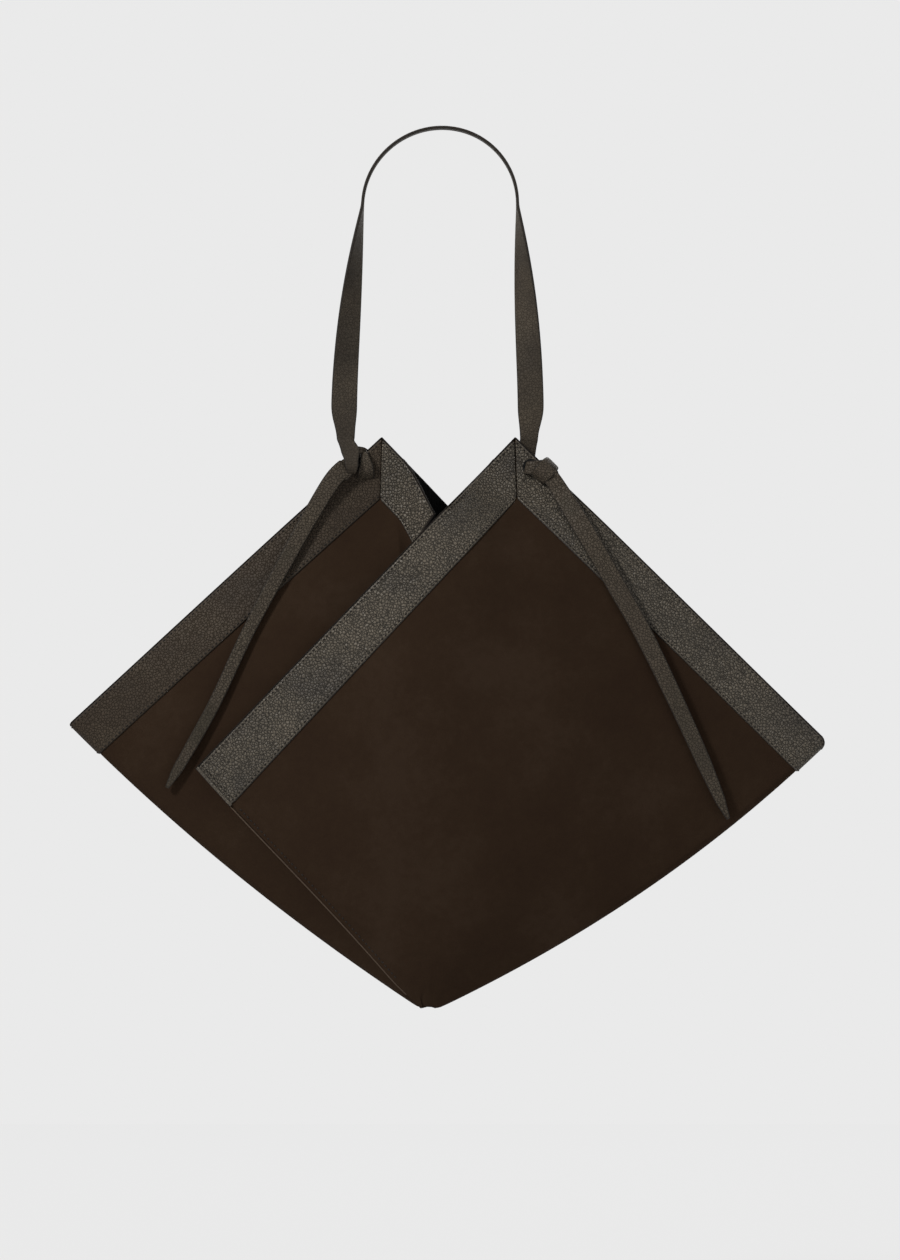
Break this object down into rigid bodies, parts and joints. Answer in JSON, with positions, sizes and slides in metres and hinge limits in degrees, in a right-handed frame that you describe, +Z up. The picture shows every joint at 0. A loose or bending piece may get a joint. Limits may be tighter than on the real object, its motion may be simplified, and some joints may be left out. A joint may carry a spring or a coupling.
{
  "type": "knotted strap shoulder bag",
  "caption": "Soft square bag folded from two suede halves, its corners drawn up to two peaks and hung from one knotted leather strap with long pointed tails.",
  "frame": {"origin": "underside of the strap at the crown of the handle, where the bag hangs", "axes": "+X to the right of the picture, +Y away from the camera, +Z up"},
  "size_m": [0.6074, 0.1114, 0.7066],
  "materials": {
    "suede": "dark brown napped suede, matt",
    "lining": "black woven lining, matt",
    "leather": "pebbled dark grey-brown leather, semi matt"
  },
  "bodies": {
    "handle": {"handle_strap": "leather"},
    "bag": {"right_half_suede": "suede", "left_half_suede": "suede", "right_half_lining": "lining", "left_half_lining": "lining", "right_panel_border": "leather", "right_corner_border": "leather", "right_tuck_border": "leather", "left_panel_border": "leather", "left_corner_border": "leather", "left_tuck_border": "leather", "right_knot": "leather", "left_knot": "leather"},
    "right_tail": {"right_tail": "leather"},
    "left_tail": {"left_tail": "leather"}
  },
  "joints": [
    {"name": "handle_swing", "type": "hinge", "parent": "handle", "child": "bag", "pos_m": [-0.0036, 0, -0.247], "axis": [0.9955, 0.0951, 0], "range_deg": [-85, 85]},
    {"name": "right_tail_lift", "type": "hinge", "parent": "bag", "child": "right_tail", "pos_m": [0.08419, -0.01175, -0.27507], "axis": [-0.8858, 0, -0.464], "range_deg": [0, 90]},
    {"name": "left_tail_lift", "type": "hinge", "parent": "bag", "child": "left_tail", "pos_m": [-0.07481, -0.01175, -0.27419], "axis": [-0.8646, 0, 0.5025], "range_deg": [0, 90]}
  ]
}
